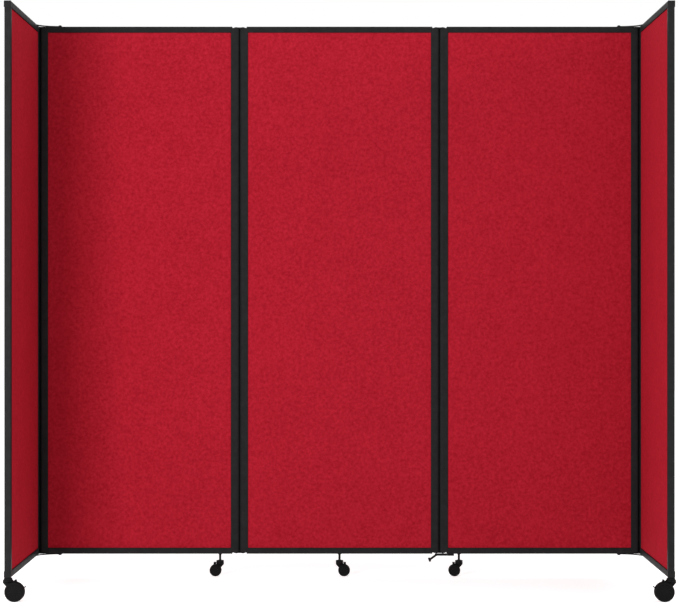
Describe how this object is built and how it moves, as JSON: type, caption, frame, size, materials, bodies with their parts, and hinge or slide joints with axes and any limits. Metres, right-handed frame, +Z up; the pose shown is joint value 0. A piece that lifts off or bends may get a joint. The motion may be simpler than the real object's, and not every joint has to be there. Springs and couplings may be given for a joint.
{
  "type": "folding privacy screen",
  "caption": "Folding privacy screen of framed fabric boards on swivel casters, with double-pin hinges, corner stays and a foot lock.",
  "frame": {"origin": "on the floor, under the middle of the box round the whole screen at rest", "axes": "+X along the three boards in line, +Z up, the two wings point to -Y"},
  "size_m": [2.563, 0.836, 2.2934],
  "materials": {
    "frame": "satin",
    "fabric": "matte",
    "steel": "satin",
    "caster": "satin",
    "wheel": "matte"
  },
  "bodies": {
    "centre": {"centre_board": "fabric", "centre_top_rail": "frame", "centre_bottom_rail": "frame", "centre_stile_left": "frame", "centre_stile_right": "frame", "centre_caster_stem": "steel"},
    "left": {"left_board": "fabric", "left_top_rail": "frame", "left_bottom_rail": "frame", "left_stile_left": "frame", "left_stile_right": "frame", "left_caster_stem": "steel"},
    "right": {"right_board": "fabric", "right_top_rail": "frame", "right_bottom_rail": "frame", "right_stile_left": "frame", "right_stile_right": "frame", "right_caster_stem": "steel", "lock_bracket": "steel"},
    "left_wing": {"left_wing_board": "fabric", "left_wing_top_rail": "frame", "left_wing_bottom_rail": "frame", "left_wing_hinge_stile": "frame", "left_wing_free_stile": "frame", "left_wing_caster_stem": "steel"},
    "right_wing": {"right_wing_board": "fabric", "right_wing_top_rail": "frame", "right_wing_bottom_rail": "frame", "right_wing_hinge_stile": "frame", "right_wing_free_stile": "frame", "right_wing_caster_stem": "steel"},
    "left_hinge_link": {"left_hinge_link_top": "steel", "left_hinge_link_bottom": "steel"},
    "right_hinge_link": {"right_hinge_link_top": "steel", "right_hinge_link_bottom": "steel"},
    "left_corner_link": {"left_corner_link_top": "steel", "left_corner_link_bottom": "steel"},
    "right_corner_link": {"right_corner_link_top": "steel", "right_corner_link_bottom": "steel"},
    "lock_pedal": {"lock_pedal": "steel"},
    "centre_caster": {"centre_caster_body": "caster"},
    "centre_wheels": {"centre_caster_wheels": "wheel"},
    "centre_brake": {"centre_caster_lever": "caster"},
    "left_caster": {"left_caster_body": "caster"},
    "left_wheels": {"left_caster_wheels": "wheel"},
    "left_brake": {"left_caster_lever": "caster"},
    "right_caster": {"right_caster_body": "caster"},
    "right_wheels": {"right_caster_wheels": "wheel"},
    "right_brake": {"right_caster_lever": "caster"},
    "left_wing_caster": {"left_wing_caster_body": "caster"},
    "left_wing_wheels": {"left_wing_caster_wheels": "wheel"},
    "left_wing_brake": {"left_wing_caster_lever": "caster"},
    "right_wing_caster": {"right_wing_caster_body": "caster"},
    "right_wing_wheels": {"right_wing_caster_wheels": "wheel"},
    "right_wing_brake": {"right_wing_caster_lever": "caster"},
    "left_top_stay": {"left_corner_top_stay": "steel"},
    "left_bottom_stay": {"left_corner_bottom_stay": "steel"},
    "right_top_stay": {"right_corner_top_stay": "steel"},
    "right_bottom_stay": {"right_corner_bottom_stay": "steel"}
  },
  "joints": [
    {"name": "left_hinge_inner_pin", "type": "hinge", "parent": "centre", "child": "left_hinge_link", "pos_m": [-0.4025, 0.402, 1.19], "axis": [0, 0, -1], "range_deg": [-90, 90]},
    {"name": "left_hinge_outer_pin", "type": "hinge", "parent": "left_hinge_link", "child": "left", "pos_m": [-0.4295, 0.402, 1.19], "axis": [0, 0, -1], "range_deg": [-90, 90]},
    {"name": "left_corner_inner_pin", "type": "hinge", "parent": "left", "child": "left_corner_link", "pos_m": [-1.2345, 0.402, 1.19], "axis": [0, 0, 1], "range_deg": [-90, 90]},
    {"name": "left_corner_outer_pin", "type": "hinge", "parent": "left_corner_link", "child": "left_wing", "pos_m": [-1.2615, 0.402, 1.19], "axis": [0, 0, 1], "range_deg": [-180, 0]},
    {"name": "left_top_stay_pivot", "type": "hinge", "parent": "left", "child": "left_top_stay", "pos_m": [-1.164, 0.4065, 2.2883], "axis": [0, 0, -1], "range_deg": [-125, 0]},
    {"name": "left_bottom_stay_pivot", "type": "hinge", "parent": "left", "child": "left_bottom_stay", "pos_m": [-1.164, 0.4065, 0.0917], "axis": [0, 0, -1], "range_deg": [-125, 0]},
    {"name": "right_hinge_inner_pin", "type": "hinge", "parent": "centre", "child": "right_hinge_link", "pos_m": [0.4025, 0.402, 1.19], "axis": [0, 0, -1], "range_deg": [-90, 90]},
    {"name": "right_hinge_outer_pin", "type": "hinge", "parent": "right_hinge_link", "child": "right", "pos_m": [0.4295, 0.402, 1.19], "axis": [0, 0, -1], "range_deg": [-90, 90]},
    {"name": "right_corner_inner_pin", "type": "hinge", "parent": "right", "child": "right_corner_link", "pos_m": [1.2345, 0.402, 1.19], "axis": [0, 0, 1], "range_deg": [-90, 90]},
    {"name": "right_corner_outer_pin", "type": "hinge", "parent": "right_corner_link", "child": "right_wing", "pos_m": [1.2615, 0.402, 1.19], "axis": [0, 0, 1], "range_deg": [0, 180]},
    {"name": "right_top_stay_pivot", "type": "hinge", "parent": "right", "child": "right_top_stay", "pos_m": [1.164, 0.4065, 2.2883], "axis": [0, 0, -1], "range_deg": [0, 125]},
    {"name": "right_bottom_stay_pivot", "type": "hinge", "parent": "right", "child": "right_bottom_stay", "pos_m": [1.164, 0.4065, 0.0917], "axis": [0, 0, -1], "range_deg": [0, 125]},
    {"name": "lock_pedal_pivot", "type": "hinge", "parent": "right", "child": "lock_pedal", "pos_m": [0.4695, 0.402, 0.0884], "axis": [0, 1, 0], "range_deg": [-12, 0], "stiffness_Nm_per_rad": 1.2, "springref_deg": 8.02},
    {"name": "centre_caster_swivel", "type": "hinge", "parent": "centre", "child": "centre_caster", "pos_m": [0, 0.402, 0.056], "axis": [0, 0, -1], "continuous": true},
    {"name": "centre_wheels_spin", "type": "hinge", "parent": "centre_caster", "child": "centre_wheels", "pos_m": [0.019, 0.402, 0.0245], "axis": [0, 1, 0], "continuous": true},
    {"name": "centre_brake_press", "type": "hinge", "parent": "centre_caster", "child": "centre_brake", "pos_m": [0.0145, 0.402, 0.0464], "axis": [0, 1, 0], "range_deg": [0, 8]},
    {"name": "left_caster_swivel", "type": "hinge", "parent": "left", "child": "left_caster", "pos_m": [-0.497, 0.402, 0.056], "axis": [0, 0, -1], "continuous": true},
    {"name": "left_wheels_spin", "type": "hinge", "parent": "left_caster", "child": "left_wheels", "pos_m": [-0.516, 0.402, 0.0245], "axis": [0, 1, 0], "continuous": true},
    {"name": "left_brake_press", "type": "hinge", "parent": "left_caster", "child": "left_brake", "pos_m": [-0.5115, 0.402, 0.0464], "axis": [0, -1, 0], "range_deg": [0, 8]},
    {"name": "right_caster_swivel", "type": "hinge", "parent": "right", "child": "right_caster", "pos_m": [0.497, 0.402, 0.056], "axis": [0, 0, -1], "continuous": true},
    {"name": "right_wheels_spin", "type": "hinge", "parent": "right_caster", "child": "right_wheels", "pos_m": [0.478, 0.402, 0.0245], "axis": [0, 1, 0], "continuous": true},
    {"name": "right_brake_press", "type": "hinge", "parent": "right_caster", "child": "right_brake", "pos_m": [0.4825, 0.402, 0.0464], "axis": [0, -1, 0], "range_deg": [0, 8]},
    {"name": "left_wing_caster_swivel", "type": "hinge", "parent": "left_wing", "child": "left_wing_caster", "pos_m": [-1.2615, -0.398, 0.08], "axis": [0, 0, -1], "continuous": true},
    {"name": "left_wing_wheels_spin", "type": "hinge", "parent": "left_wing_caster", "child": "left_wing_wheels", "pos_m": [-1.2365, -0.398, 0.038], "axis": [0, 1, 0], "continuous": true},
    {"name": "left_wing_brake_press", "type": "hinge", "parent": "left_wing_caster", "child": "left_wing_brake", "pos_m": [-1.2315, -0.398, 0.0742], "axis": [0, 1, 0], "range_deg": [0, 6]},
    {"name": "right_wing_caster_swivel", "type": "hinge", "parent": "right_wing", "child": "right_wing_caster", "pos_m": [1.2615, -0.398, 0.08], "axis": [0, 0, 1], "continuous": true},
    {"name": "right_wing_wheels_spin", "type": "hinge", "parent": "right_wing_caster", "child": "right_wing_wheels", "pos_m": [1.2365, -0.398, 0.038], "axis": [0, 1, 0], "continuous": true},
    {"name": "right_wing_brake_press", "type": "hinge", "parent": "right_wing_caster", "child": "right_wing_brake", "pos_m": [1.2315, -0.398, 0.0742], "axis": [0, -1, 0], "range_deg": [0, 6]}
  ]
}
